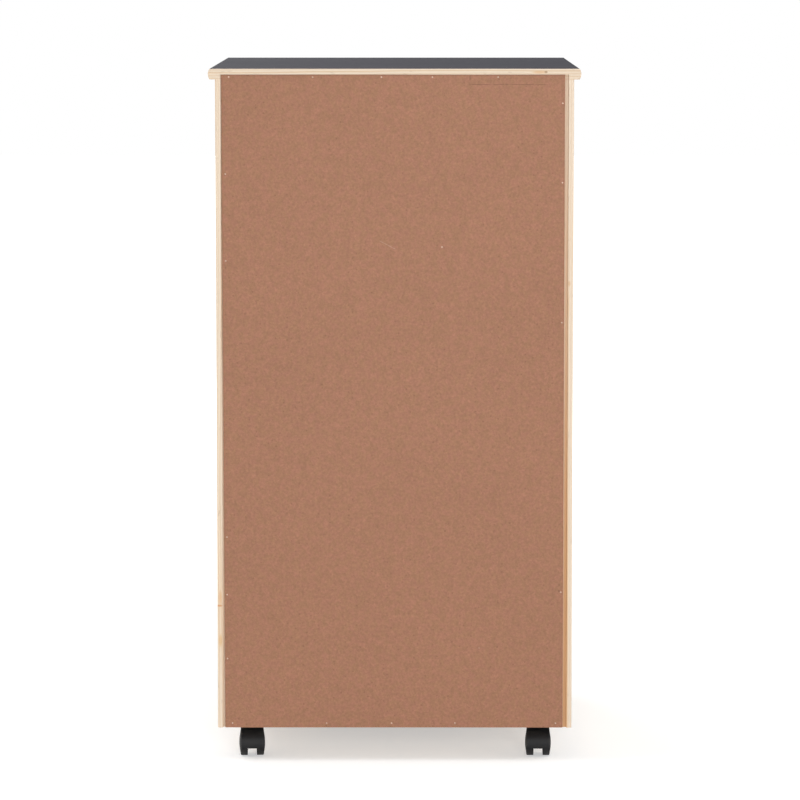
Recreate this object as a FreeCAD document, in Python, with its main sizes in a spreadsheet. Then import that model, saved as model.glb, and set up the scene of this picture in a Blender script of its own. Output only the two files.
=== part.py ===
import FreeCAD, Part
import math
import os
import re

import Sketcher

# Rolling drawer cabinet: a pine case with five inset drawers on wooden runners, a nailed hardboard
# back and four swivelling twin-wheel casters. Millimetres, +Z up, drawers facing -Y, back at +Y,
# origin on the floor in the middle of the plan.

DRAWERS = 5

SIZES = {
    # top board
    "top_width": 420,
    "top_depth": 500,
    "total_height": 790,
    "top_board": 12,
    "edge_crown": 2,
    "side_overhang": 8,
    "front_overhang": 8,
    # side and base boards
    "side_board": 15,
    "side_round": 2,
    "base_board": 12,
    # hardboard back in its rabbets; it hangs off centre, so one gap is wide
    "back_board": 3,
    "rabbet_depth": 4,
    "rabbet_lip": 6,
    "top_lip": 6.4,
    "back_gap_narrow": 1,
    "back_gap_wide": 4.2,
    "back_gap_top": 0.3,
    "back_skew": 1.6,
    # dowels of the case
    "dowel_radius": 3,
    "dowel_shallow": 8,
    "dowel_deep": 18,
    "dowel_inset": 45,
    "dowel_end_play": 0.5,
    "glue_gap": 0.05,
    # drawer fronts
    "front_board": 12,
    "front_gap": 2.5,
    "front_round": 1.5,
    # drawer boxes
    "box_board": 12,
    "box_gap": 1.5,
    "box_rise": 10,
    "box_drop": 22,
    "box_back_gap": 11,
    "box_round": 2,
    "front_dado": 4,
    "back_dado": 3,
    "bottom_board": 3,
    "bottom_rise": 8,
    "bottom_groove": 5,
    "bottom_play": 0.3,
    # runners and the grooves that ride on them
    "runner_high": 12,
    "runner_rise": 46,
    "runner_end_gap": 6,
    "groove_depth": 5.5,
    "groove_stop": 24,
    "slide_play": 0.3,
    "lift_play": 0.7,
    "cheek_play": 0.5,
    # turned knobs
    "knob_length": 24,
    "knob_radius": 15,
    "knob_dome": 6.5,
    "knob_lip": 3,
    "knob_undercut": 1.5,
    "knob_foot_radius": 8.5,
    "knob_foot": 2,
    "tenon_radius": 4,
    "tenon_length": 8,
    # wood screws of the runners
    "screw_radius": 1.6,
    "screw_length": 15,
    "screw_head_radius": 3.2,
    "screw_head": 1.8,
    "screw_inset": 40,
    "bite": 0.1,
    # nails of the back
    "nail_radius": 0.6,
    "nail_length": 14,
    "nail_head_radius": 0.95,
    "nail_head": 0.5,
    "nail_edge": 2.6,
    "nail_edge_low": 5,
    # casters
    "caster_side_inset": 22,
    "caster_end_inset": 50,
    "trail": 10,
    "rear_right_turn": 4,
    "plate_size": 38,
    "plate_board": 2,
    "plate_corner": 4,
    "plate_hole_edge": 5,
    "caster_screw_length": 9,
    "caster_screw_head": 2.2,
    "hole_play": 0.2,
    "stem_radius": 3,
    "stem_depth": 14,
    "stem_waist": 0.5,
    "stem_waist_high": 3,
    "stem_waist_rise": 3,
    "stem_rivet_radius": 5,
    "stem_rivet": 0.8,
    "running_play": 0.05,
    "swivel_gap": 0.5,
    "collar_radius": 10,
    "collar_high": 3,
    "neck_radius": 7,
    "neck_high": 2.5,
    "wheel_clearance": 1.2,
    "wheel_radius": 15,
    "wheel_gap": 10.8,
    "wheel_tread": 8,
    "wheel_crown": 1.5,
    "tread_round": 1.4,
    "face_groove": 0.9,
    "face_groove_deep": 0.5,
    "wheel_rim": 2,
    "wheel_skin": 2,
    "hub_radius": 4.5,
    "axle_radius": 2,
    "axle_end_play": 0.4,
    "web_play": 0.3,
    "web_inset": 0.4,
    "web_drop": 5.2,
    "hood_clearance": 0.6,
    "hood_skin": 1.5,
    "hood_reach": 11.5,
    "hood_drop": 4,
    "hood_end_inset": 0.4,
    "recess_radius": 8.5,
    "recess_deep": 2.5,
}

# Lengths that follow from the sizes. Each is written once and used by every piece that meets there.
FORMULAS = {
    "rear": "(top_depth - front_overhang + max(knob_length; front_overhang)) / 2",
    "top_front": "rear - top_depth",
    "case_front": "top_front + front_overhang",
    "half_top": "top_width / 2",
    "crown_radius": "(top_board ^ 2 / 4 + edge_crown ^ 2) / (2 * edge_crown)",
    "half_case": "half_top - side_overhang",
    "half_inner": "half_case - side_board",
    "half_rabbet": "half_case - rabbet_lip",
    "top_under": "total_height - top_board",
    "swivel_top": "2 * wheel_radius + wheel_clearance + neck_high + collar_high",
    "plate_under": "swivel_top + swivel_gap",
    "case_low": "plate_under + plate_board",
    "base_top": "case_low + base_board",
    "rabbet_plane": "rear - rabbet_depth",
    "back_face": "rabbet_plane + back_board",
    "rabbet_top": "total_height - top_lip",
    "back_top": "rabbet_top - back_gap_top",
    "back_right": "half_rabbet - back_gap_narrow",
    "back_left": "back_gap_wide - half_rabbet",
    "back_width": "back_right - back_left",
    "back_height": "back_top - case_low",
    "dowel_x": "half_case - side_board / 2",
    "dowel_y_front": "case_front + dowel_inset",
    "dowel_y_middle": "(case_front + rabbet_plane) / 2",
    "dowel_y_rear": "rabbet_plane - dowel_inset",
    "dowel_hole": "dowel_radius + glue_gap",
    "base_middle": "case_low + base_board / 2",
    "front_high": f"(top_under - base_top - {DRAWERS + 1} * front_gap) / {DRAWERS}",
    "front_pitch": "front_high + front_gap",
    "front_half": "half_inner - front_gap",
    "front_back": "case_front + front_board",
    "box_front": "front_back - front_dado",
    "box_end": "rabbet_plane - box_back_gap",
    "box_high": "front_high - box_rise - box_drop",
    "box_out": "half_inner - box_gap",
    "box_in": "box_out - box_board",
    "box_back_front": "box_end - box_board",
    "bottom_half": "box_in + bottom_groove",
    "groove_start": "front_back + groove_stop",
    "runner_in": "box_out - groove_depth + cheek_play",
    "runner_start": "groove_start + slide_play",
    "runner_end": "rabbet_plane - runner_end_gap",
    "screw_front": "runner_start + screw_inset",
    "screw_rear": "runner_end - screw_inset",
    "pilot": "screw_radius - bite",
    "nail_pilot": "nail_radius - bite",
    "plate_pitch": "plate_size - 2 * plate_hole_edge",
    "caster_x": "half_inner - caster_side_inset",
    "caster_y_rear": "rear - caster_end_inset",
    "caster_y_front": "case_front + caster_end_inset",
    "stem_low": "swivel_top - stem_depth",
    "stem_hole": "stem_radius + running_play",
    "collar_low": "swivel_top - collar_high",
    "neck_low": "collar_low - neck_high",
    "wheel_in": "wheel_gap / 2",
    "wheel_out": "wheel_in + wheel_tread",
    "wheel_apex": "wheel_out + wheel_crown",
    "shoulder": "wheel_radius - tread_round",
    "groove_floor": "wheel_out - face_groove_deep",
    "dome_foot": "shoulder - face_groove",
    "dome_radius": "(dome_foot ^ 2 + wheel_crown ^ 2) / (2 * wheel_crown)",
    "hollow_end": "wheel_out - wheel_skin",
    "axle_half": "wheel_out - axle_end_play",
    "web_half": "wheel_in - web_play",
    "web_radius": "wheel_radius - web_inset",
    "web_low": "wheel_radius - web_drop",
    "web_chord": "sqrt(web_radius ^ 2 - web_drop ^ 2)",
    "web_neck": "wheel_radius + sqrt(web_radius ^ 2 - (trail - neck_radius) ^ 2)",
    "hood_in": "wheel_radius + hood_clearance",
    "hood_out": "hood_in + hood_skin",
    "hood_rise": "sqrt(hood_out ^ 2 - hood_reach ^ 2)",
    "hood_tail": "sqrt(hood_out ^ 2 - hood_drop ^ 2)",
    "hood_reach_in": "hood_reach * hood_in / hood_out",
    "hood_rise_in": "hood_rise * hood_in / hood_out",
    "hood_tail_in": "hood_tail * hood_in / hood_out",
    "hood_drop_in": "hood_drop * hood_in / hood_out",
    "hood_half": "wheel_out - hood_end_inset",
    "knob_rim": "knob_length - knob_dome",
    "knob_waist_end": "knob_rim - knob_lip",
    "knob_under_radius": "knob_radius - knob_undercut",
    "knob_dome_radius": "(knob_radius ^ 2 + knob_dome ^ 2) / (2 * knob_dome)",
    "knob_waist_radius": "0.6 * sqrt((knob_under_radius - knob_foot_radius) ^ 2"
                         " + (knob_waist_end - knob_foot) ^ 2)",
    "knob_lip_radius": "0.7 * sqrt(knob_undercut ^ 2 + knob_lip ^ 2)",
}

# Where the nails of the back were driven, as shares of the panel's width from its +X edge or of its
# height from its upper edge: by hand, so unevenly.
NAILS_TOP = (0.022, 0.266, 0.466, 0.614, 0.805)
NAILS_LOW = (0.025, 0.303, 0.495, 0.682, 0.979)
NAILS_RIGHT = (0.15, 0.282, 0.705, 0.794, 0.893)
NAILS_LEFT = (0.043, 0.163, 0.376, 0.79)

PLACES = {
    "front_left": ("0 - caster_x", "caster_y_front", "0"),
    "front_right": ("caster_x", "caster_y_front", "0"),
    "rear_left": ("0 - caster_x", "caster_y_rear", "0"),
    "rear_right": ("caster_x", "caster_y_rear", "rear_right_turn"),
}

vector = FreeCAD.Vector
doc = FreeCAD.newDocument("RollingDrawerCabinet")
sheet = doc.addObject("Spreadsheet::Sheet", "Sizes")
for row, (alias, size) in enumerate(SIZES.items(), start=1):
    sheet.set(f"A{row}", alias)
    sheet.set(f"B{row}", str(size))
    sheet.setAlias(f"B{row}", alias)
doc.recompute()

nodes = []


def full(text):
    """Formula with each short name written out down to the cells of the sheet."""
    def swap(match):
        name = match.group(0)
        if name in FORMULAS:
            return "(" + full(FORMULAS[name]) + ")"
        return "Sizes." + name if name in SIZES else name
    return re.sub(r"[a-z]\w*", swap, text)


def number(text):
    """Present value of a formula."""
    return float(sheet.evalExpression(full(text)))


def minus(text):
    """Formula of the opposite number."""
    return f"0 - ({text})"


def new_body(label):
    """Empty body whose label names its file."""
    body = doc.addObject("PartDesign::Body", label)
    body.Label = label
    nodes.append(body)
    return body


def new_sketch(body, plane, level):
    """Sketch on one of the body's own planes, moved along the plane's world axis to a level."""
    sketch = body.newObject("Sketcher::SketchObject", f"{body.Name}_sketch")
    origin = [part for part in body.Origin.OriginFeatures if part.Role == f"{plane}_Plane"][0]
    sketch.AttachmentSupport = [(origin, "")]
    sketch.MapMode = "FlatFace"
    sketch.setExpression("AttachmentOffset.Base.z", full(minus(level) if plane == "XZ" else level))
    return sketch


def bind(sketch, kind, formula, *where):
    """Dimension of a sketch, tied to a formula."""
    index = sketch.addConstraint(Sketcher.Constraint(kind, *where, number(formula)))
    sketch.setExpression(f"Constraints[{index}]", full(formula))


def draw_outline(sketch, corners):
    """Closed outline. A corner is (x, y) or (x, y, radius, turn): then an arc runs to the next corner,
    counter-clockwise for turn 1 and clockwise for turn -1."""
    first = sketch.GeometryCount
    points = [vector(number(corner[0]), number(corner[1]), 0) for corner in corners]
    ends = []
    for here, corner in enumerate(corners):
        start = points[here]
        stop = points[(here + 1) % len(points)]
        if len(corner) == 2:
            sketch.addGeometry(Part.LineSegment(start, stop), False)
            ends.append((1, 2))
            continue
        radius = number(corner[2])
        chord = stop - start
        side = vector(-chord.y, chord.x, 0).normalize() * corner[3]
        centre = (start + stop) / 2 + side * math.sqrt(radius ** 2 - chord.Length ** 2 / 4)
        tail, head = (start, stop) if corner[3] > 0 else (stop, start)
        low, high = [math.atan2(end.y - centre.y, end.x - centre.x) for end in (tail, head)]
        high += 2 * math.pi if high < low else 0
        circle = Part.Circle(centre, vector(0, 0, 1), radius)
        sketch.addGeometry(Part.ArcOfCircle(circle, low, high), False)
        ends.append((1, 2) if corner[3] > 0 else (2, 1))
    for here, corner in enumerate(corners):
        after = (here + 1) % len(corners)
        sketch.addConstraint(Sketcher.Constraint(
            "Coincident", first + here, ends[here][1], first + after, ends[after][0]))
        bind(sketch, "DistanceX", corner[0], -1, 1, first + here, ends[here][0])
        bind(sketch, "DistanceY", corner[1], -1, 1, first + here, ends[here][0])
        if len(corner) == 4:
            bind(sketch, "Radius", corner[2], first + here)


def draw_circle(sketch, x, y, radius):
    """Circle by its centre and radius."""
    circle = Part.Circle(vector(number(x), number(y), 0), vector(0, 0, 1), number(radius))
    index = sketch.addGeometry(circle, False)
    bind(sketch, "DistanceX", x, -1, 1, index, 3)
    bind(sketch, "DistanceY", y, -1, 1, index, 3)
    bind(sketch, "Radius", radius, index)


def rectangle(low_x, high_x, low_y, high_y):
    """Corners of an upright rectangle."""
    return [(low_x, low_y), (high_x, low_y), (high_x, high_y), (low_x, high_y)]


def extrude(body, plane, low, high, outlines=(), circles=(), cut=False):
    """Pad or pocket of outlines and circles from one level to another along the plane's world axis."""
    sketch = new_sketch(body, plane, low)
    for corners in outlines:
        draw_outline(sketch, corners)
    for circle in circles:
        draw_circle(sketch, *circle)
    before = body.Shape.Volume if cut else 0
    feature = body.newObject("PartDesign::Pocket" if cut else "PartDesign::Pad", f"{body.Name}_step")
    feature.Profile = sketch
    feature.Reversed = (plane == "XZ") != cut
    feature.setExpression("Length", full(f"{high} - ({low})"))
    doc.recompute()
    if cut and not feature.Shape.Volume < before:
        raise RuntimeError(f"a cut in {body.Label} takes nothing away")
    return feature


def carve(body, plane, low, high, outlines=(), circles=()):
    """Pocket from one level to another."""
    return extrude(body, plane, low, high, outlines, circles, cut=True)


def revolve(body, corners, axis):
    """Turned solid of an outline in the XZ plane, about its own H or V axis."""
    sketch = new_sketch(body, "XZ", "0")
    draw_outline(sketch, corners)
    turned = body.newObject("PartDesign::Revolution", f"{body.Name}_turned")
    turned.Profile = sketch
    turned.ReferenceAxis = (sketch, [f"{axis}_Axis"])
    turned.Angle = 360
    doc.recompute()
    return turned


def ease(body, radius, wanted):
    """Rounding of the straight edges that the test picks."""
    base = body.Tip
    names = [f"Edge{index}" for index, edge in enumerate(base.Shape.Edges, start=1) if wanted(edge)]
    rounding = body.newObject("PartDesign::Fillet", f"{body.Name}_round")
    rounding.Base = (base, names)
    rounding.setExpression("Radius", full(radius))
    doc.recompute()


def place(body, x, y, z, axis=None, angle="0"):
    """Position and turn of a body, tied to formulas."""
    if axis:
        body.Placement = FreeCAD.Placement(vector(0, 0, 0), FreeCAD.Rotation(axis, number(angle)))
        body.setExpression("Placement.Rotation.Angle", full(angle))
    body.setExpression("Placement.Base.x", full(x))
    body.setExpression("Placement.Base.y", full(y))
    body.setExpression("Placement.Base.z", full(z))


def along(edge, axis):
    """Whether a straight edge runs along a world axis."""
    ends = [vertex.Point for vertex in edge.Vertexes]
    return len(ends) == 2 and abs((ends[1] - ends[0]).normalize().dot(axis)) > 0.999


def near(value, formula):
    """Whether a coordinate sits at a formula's level."""
    return abs(value - number(formula)) < 0.001


def dowel_rows():
    """Places of the dowels along the depth."""
    return ("dowel_y_front", "dowel_y_middle", "dowel_y_rear")


def sides():
    """Sign and word of the left and the right side."""
    return (("0 - ", "left"), ("", "right"))


def span(sign, inner, outer):
    """Lower and upper end of a stretch on the left or right side of the middle."""
    return (minus(outer), minus(inner)) if sign else (inner, outer)


def drawer_low(index):
    """Lower edge of a drawer's front, the first drawer uppermost."""
    return f"base_top + front_gap + {DRAWERS - index} * front_pitch"


def box_low(index):
    """Lower edge of a drawer's box."""
    return f"{drawer_low(index)} + box_rise"


def runner_low(index):
    """Lower face of a drawer's runners."""
    return f"{box_low(index)} + runner_rise"


def runner_screw_rows():
    """Centres of the runner screws on one side, as (y, z)."""
    heights = [f"{runner_low(index)} + runner_high / 2" for index in range(1, DRAWERS + 1)]
    return [(y, z) for z in heights for y in ("screw_front", "screw_rear")]


def nail_rows():
    """Centres of the nails as (x, z), by the board that each is driven into."""
    rows = {"top": [], "base": [], "right": [], "left": []}
    for share in NAILS_TOP:
        rows["top"].append((f"back_right - {share} * back_width", "back_top - nail_edge"))
    for share in NAILS_LOW:
        rows["base"].append((f"back_right - {share} * back_width", "case_low + nail_edge_low"))
    for share in NAILS_RIGHT:
        rows["right"].append(("back_right - back_skew - nail_edge", f"back_top - {share} * back_height"))
    for share in NAILS_LEFT:
        rows["left"].append(("back_left + nail_edge", f"back_top - {share} * back_height"))
    return rows


def caster_screw_rows():
    """Centres of the sixteen caster screws, as (x, y)."""
    steps = ("0 - plate_pitch / 2", "plate_pitch / 2")
    return [(f"{x} + {dx}", f"{y} + {dy}") for x, y, turn in PLACES.values() for dx in steps for dy in steps]


def make_top():
    """Top board: shallow crowns on both sides and the front, a rabbet under the square rear edge."""
    body = new_body("top_panel")
    flat = "half_top - edge_crown"
    ends = [(minus(flat), "top_under"),
            (flat, "top_under", "crown_radius", 1),
            (flat, "total_height"),
            (minus(flat), "total_height", "crown_radius", 1)]
    extrude(body, "XZ", "top_front", "rear", [ends])
    nose = "top_front + edge_crown"
    front = [(nose, "top_under", "crown_radius", -1),
             (nose, "total_height"),
             ("top_front - edge_crown", "total_height"),
             ("top_front - edge_crown", "top_under")]
    carve(body, "YZ", "0 - half_top", "half_top", [front])
    carve(body, "XZ", "rabbet_plane", "rear",
          [rectangle("0 - half_rabbet", "half_rabbet", "top_under", "rabbet_top")])
    holes = [(f"{sign}dowel_x", y, "dowel_hole") for sign, word in sides() for y in dowel_rows()]
    carve(body, "XY", "top_under", "top_under + dowel_shallow + dowel_end_play", circles=holes)
    nails = [(x, z, "nail_pilot") for x, z in nail_rows()["top"]]
    carve(body, "XZ", "back_face - nail_length", "rabbet_plane", circles=nails)


def make_sides():
    """Side boards: eased outer corners, rear rabbet, bores for dowels, screws and nails."""
    for sign, word in sides():
        body = new_body(f"side_panel_{word}")
        low, high = span(sign, "half_inner", "half_case")
        extrude(body, "XY", "case_low", "top_under", [rectangle(low, high, "case_front", "rear")])
        outer = f"{sign}half_case"
        ease(body, "side_round", lambda edge: along(edge, vector(0, 0, 1))
             and near(edge.CenterOfMass.x, outer))
        low, high = span(sign, "half_inner", "half_rabbet")
        carve(body, "XY", "case_low", "top_under", [rectangle(low, high, "rabbet_plane", "rear")])
        upper = [(f"{sign}dowel_x", y, "dowel_hole") for y in dowel_rows()]
        carve(body, "XY", "top_under - dowel_deep - dowel_end_play", "top_under", circles=upper)
        low, high = span(sign, "half_inner", "half_inner + dowel_shallow + dowel_end_play")
        lower = [(y, "base_middle", "dowel_hole") for y in dowel_rows()]
        carve(body, "YZ", low, high, circles=lower)
        low, high = span(sign, "half_inner", "runner_in + screw_length")
        carve(body, "YZ", low, high, circles=[(y, z, "pilot") for y, z in runner_screw_rows()])
        nails = [(x, z, "nail_pilot") for x, z in nail_rows()[word]]
        carve(body, "XZ", "back_face - nail_length", "rabbet_plane", circles=nails)


def make_base():
    """Base board between the sides, with blind bores for dowels, caster screws and nails."""
    body = new_body("base_panel")
    extrude(body, "XY", "case_low", "base_top",
            [rectangle("0 - half_inner", "half_inner", "case_front", "rabbet_plane")])
    for sign, word in sides():
        low, high = span(sign, "half_inner - dowel_deep - dowel_end_play", "half_inner")
        carve(body, "YZ", low, high, circles=[(y, "base_middle", "dowel_hole") for y in dowel_rows()])
    screws = [(x, y, "pilot") for x, y in caster_screw_rows()]
    carve(body, "XY", "case_low", "plate_under + caster_screw_length", circles=screws)
    nails = [(x, z, "nail_pilot") for x, z in nail_rows()["base"]]
    carve(body, "XZ", "back_face - nail_length", "rabbet_plane", circles=nails)


def make_back():
    """Hardboard back, not quite square, and the nails that hold it in the rabbets."""
    centres = [centre for row in nail_rows().values() for centre in row]
    body = new_body("back_panel")
    panel = [("back_left", "case_low"), ("back_right - back_skew", "case_low"),
             ("back_right", "back_top"), ("back_left", "back_top")]
    extrude(body, "XZ", "rabbet_plane", "back_face", [panel])
    carve(body, "XZ", "rabbet_plane", "back_face",
          circles=[(x, z, "nail_radius + glue_gap") for x, z in centres])
    body = new_body("back_panel_nails")
    extrude(body, "XZ", "back_face - nail_length", "back_face",
            circles=[(x, z, "nail_radius") for x, z in centres])
    extrude(body, "XZ", "back_face", "back_face + nail_head",
            circles=[(x, z, "nail_head_radius") for x, z in centres])


def make_dowels():
    """Dowels: upright between sides and top, level between base and sides."""
    body = new_body("case_dowels")
    upright = [(f"{sign}dowel_x", y, "dowel_radius") for sign, word in sides() for y in dowel_rows()]
    extrude(body, "XY", "top_under - dowel_deep", "top_under + dowel_shallow", circles=upright)
    for sign, word in sides():
        low, high = span(sign, "half_inner - dowel_deep", "half_inner + dowel_shallow")
        extrude(body, "YZ", low, high, circles=[(y, "base_middle", "dowel_radius") for y in dowel_rows()])


def make_runners():
    """Runner cleats on the inner faces of the sides, and their countersunk screws."""
    screws = []
    for sign, word in sides():
        body = new_body(f"drawer_runners_{word}")
        low, high = span(sign, "runner_in", "half_inner")
        bars = []
        for index in range(1, DRAWERS + 1):
            bottom = runner_low(index)
            bars.append(rectangle("runner_start", "runner_end", bottom, f"{bottom} + runner_high"))
        extrude(body, "YZ", low, high, bars)
        holes = [(y, z, "screw_radius + glue_gap") for y, z in runner_screw_rows()]
        carve(body, "YZ", low, high, circles=holes)
        low, high = span(sign, "runner_in", "runner_in + screw_head")
        sinks = [(y, z, "screw_head_radius + glue_gap") for y, z in runner_screw_rows()]
        carve(body, "YZ", low, high, circles=sinks)
    body = new_body("runner_screws")
    for sign, word in sides():
        low, high = span(sign, "runner_in", "runner_in + screw_length")
        extrude(body, "YZ", low, high, circles=[(y, z, "screw_radius") for y, z in runner_screw_rows()])
        low, high = span(sign, "runner_in", "runner_in + screw_head")
        heads = [(y, z, "screw_head_radius") for y, z in runner_screw_rows()]
        extrude(body, "YZ", low, high, circles=heads)


def make_drawer(index):
    """One drawer: front with housings, grooved sides, back, hardboard bottom and turned knob."""
    low = drawer_low(index)
    low_box = box_low(index)
    high_box = f"{low_box} + box_high"
    low_board = f"{low_box} + bottom_rise"
    high_board = f"{low_board} + bottom_board"
    low_groove = f"{runner_low(index)} - lift_play"
    high_groove = f"{runner_low(index)} + runner_high + slide_play"
    middle = f"{low} + front_high / 2"

    body = new_body(f"drawer_{index}_front")
    extrude(body, "XZ", "case_front", "front_back",
            [rectangle("0 - front_half", "front_half", low, f"{low} + front_high")])
    ease(body, "front_round", lambda edge: near(edge.BoundBox.YMax, "case_front"))
    housings = [rectangle(*span(sign, "box_in", "box_out"), low_box, high_box) for sign, word in sides()]
    carve(body, "XZ", "box_front", "front_back", housings)
    carve(body, "XZ", "box_front", "front_back",
          [rectangle("0 - box_in", "box_in", low_board, high_board)])
    carve(body, "XZ", "case_front", "case_front + tenon_length + dowel_end_play",
          circles=[("0", middle, "tenon_radius + glue_gap")])

    for sign, word in sides():
        body = new_body(f"drawer_{index}_side_{word}")
        extrude(body, "YZ", *span(sign, "box_in", "box_out"),
                [rectangle("box_front", "box_end", low_box, high_box)])
        ease(body, "box_round", lambda edge: along(edge, vector(0, 1, 0))
             and near(edge.CenterOfMass.z, high_box))
        carve(body, "YZ", *span(sign, "box_out - groove_depth", "box_out"),
              [rectangle("groove_start", "box_end", low_groove, high_groove)])
        carve(body, "YZ", *span(sign, "box_in", "bottom_half"),
              [rectangle("box_front", "box_end", low_board, high_board)])
        carve(body, "YZ", *span(sign, "box_in", "box_in + back_dado"),
              [rectangle("box_back_front", "box_end", high_board, high_box)])

    body = new_body(f"drawer_{index}_back")
    half = "box_in + back_dado"
    extrude(body, "XZ", "box_back_front", "box_end", [rectangle(minus(half), half, high_board, high_box)])

    body = new_body(f"drawer_{index}_bottom")
    half = "bottom_half - bottom_play"
    front = "front_back - bottom_play"
    tongue = "box_in - bottom_play"
    panel = [(minus(half), "box_end"), (minus(half), front), (minus(tongue), front),
             (minus(tongue), "box_front + bottom_play"), (tongue, "box_front + bottom_play"),
             (tongue, front), (half, front), (half, "box_end")]
    extrude(body, "XY", low_board, high_board, [panel])

    body = new_body(f"drawer_{index}_knob")
    revolve(body, [("0", "0 - tenon_length"),
                   ("tenon_radius", "0 - tenon_length"),
                   ("tenon_radius", "0"),
                   ("knob_foot_radius", "0"),
                   ("knob_foot_radius", "knob_foot", "knob_waist_radius", -1),
                   ("knob_under_radius", "knob_waist_end", "knob_lip_radius", 1),
                   ("knob_radius", "knob_rim", "knob_dome_radius", 1),
                   ("0", "knob_length")], "V")
    place(body, "0", "case_front", middle, vector(1, 0, 0), "90")


def make_caster_mounts():
    """Caster plates screwed under the base, their riveted stems and screws."""
    centres = [(x, y) for x, y, turn in PLACES.values()]
    body = new_body("caster_plates")
    half = "plate_size / 2"
    squares = [rectangle(f"{x} - {half}", f"{x} + {half}", f"{y} - {half}", f"{y} + {half}")
               for x, y in centres]
    extrude(body, "XY", "plate_under", "case_low", squares)
    ease(body, "plate_corner", lambda edge: along(edge, vector(0, 0, 1)))
    carve(body, "XY", "plate_under", "case_low",
          circles=[(x, y, "screw_radius + hole_play") for x, y in caster_screw_rows()])
    carve(body, "XY", "plate_under", "case_low", circles=[(x, y, "stem_radius") for x, y in centres])
    carve(body, "XY", "case_low - stem_rivet", "case_low",
          circles=[(x, y, "stem_rivet_radius") for x, y in centres])

    body = new_body("caster_kingpins")
    waist = "stem_low + stem_waist_rise"
    levels = [("stem_low", waist, "stem_radius"),
              (waist, f"{waist} + stem_waist_high", "stem_radius - stem_waist"),
              (f"{waist} + stem_waist_high", "case_low", "stem_radius"),
              ("case_low - stem_rivet", "case_low", "stem_rivet_radius")]
    for low, high, radius in levels:
        extrude(body, "XY", low, high, circles=[(x, y, radius) for x, y in centres])

    body = new_body("caster_screws")
    extrude(body, "XY", "plate_under", "plate_under + caster_screw_length",
            circles=[(x, y, "screw_radius") for x, y in caster_screw_rows()])
    extrude(body, "XY", "plate_under - caster_screw_head", "plate_under",
            circles=[(x, y, "screw_head_radius") for x, y in caster_screw_rows()])


def make_caster(name, x, y, turn):
    """One twin-wheel caster: web and hood with a swivel socket, axle, two domed hollow wheels."""
    upright = vector(0, 0, 1)
    body = new_body(f"caster_{name}_housing")
    web = [("trail - web_chord", "web_low"),
           ("trail + web_chord", "web_low", "web_radius", 1),
           ("neck_radius", "web_neck"),
           ("neck_radius", "neck_low"),
           ("0 - neck_radius", "neck_low")]
    extrude(body, "YZ", "0 - web_half", "web_half", [web])
    hood_rear = ("trail + hood_tail", "wheel_radius - hood_drop", "hood_out", 1)
    hood_front = ("trail - hood_reach", "wheel_radius + hood_rise")
    extrude(body, "YZ", "0 - web_half", "web_half", [[hood_rear, hood_front, ("trail", "wheel_radius")]])
    hood = [hood_rear, hood_front,
            ("trail - hood_reach_in", "wheel_radius + hood_rise_in", "hood_in", -1),
            ("trail + hood_tail_in", "wheel_radius - hood_drop_in")]
    extrude(body, "YZ", "0 - hood_half", "hood_half", [hood])
    extrude(body, "XY", "neck_low", "swivel_top", circles=[("0", "0", "neck_radius")])
    extrude(body, "XY", "collar_low", "swivel_top", circles=[("0", "0", "collar_radius")])
    carve(body, "XY", "stem_low - running_play", "swivel_top", circles=[("0", "0", "stem_hole")])
    for sign, word in sides():
        low, high = span(sign, "web_half - recess_deep", "web_half")
        carve(body, "YZ", low, high, circles=[("trail", "wheel_radius", "recess_radius"),
                                              ("trail", "wheel_radius", "hub_radius")])
    carve(body, "YZ", "0 - web_half", "web_half", circles=[("trail", "wheel_radius", "axle_radius")])
    place(body, x, y, "0", upright, turn)

    x_axle = f"{x} - trail * sin({turn})"
    y_axle = f"{y} + trail * cos({turn})"
    body = new_body(f"caster_{name}_axle")
    extrude(body, "YZ", "0 - axle_half", "axle_half", circles=[("0", "0", "axle_radius")])
    place(body, x_axle, y_axle, "wheel_radius", upright, turn)

    for sign, word in sides():
        body = new_body(f"caster_{name}_wheel_{word}")
        bore = "axle_radius + running_play"
        bend = -1 if sign else 1
        outline = [("wheel_in", bore), ("wheel_out", bore), ("wheel_out", "0"),
                   ("wheel_apex", "0", "dome_radius", bend),
                   ("wheel_out", "dome_foot"),
                   ("groove_floor", "dome_foot"),
                   ("groove_floor", "shoulder"),
                   ("wheel_out", "shoulder", "tread_round", bend),
                   ("wheel_out - tread_round", "wheel_radius"),
                   ("wheel_in", "wheel_radius"),
                   ("wheel_in", "wheel_radius - wheel_rim"),
                   ("hollow_end", "wheel_radius - wheel_rim"),
                   ("hollow_end", "hub_radius"), ("wheel_in", "hub_radius")]
        revolve(body, [(f"{sign}({corner[0]})", *corner[1:]) for corner in outline], "H")
        place(body, x_axle, y_axle, "wheel_radius", upright, turn)


def check():
    """Stops unless every object is in order and every piece is a valid solid."""
    doc.recompute()
    for thing in doc.Objects:
        if "Invalid" in thing.State or "Error" in thing.State:
            raise RuntimeError(f"{thing.Label}: {thing.State}")
    for node in nodes:
        if node.Shape.isNull() or not node.Shape.isValid() or not node.Shape.Solids:
            raise RuntimeError(f"{node.Label} has no valid solid")


def write():
    """One file for each piece."""
    os.makedirs("parts", exist_ok=True)
    for node in nodes:
        node.Shape.exportStep(f"parts/{node.Label}.step")
        print(node.Label, len(node.Shape.Solids), round(node.Shape.Volume, 1))


make_top()
make_sides()
make_base()
make_back()
make_dowels()
make_runners()
for drawer in range(1, DRAWERS + 1):
    make_drawer(drawer)
make_caster_mounts()
for name, (x, y, turn) in PLACES.items():
    make_caster(name, x, y, turn)
check()
write()
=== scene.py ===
import logging
import math
from dataclasses import dataclass
from enum import Enum
from typing import Optional, Sequence, Union

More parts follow.
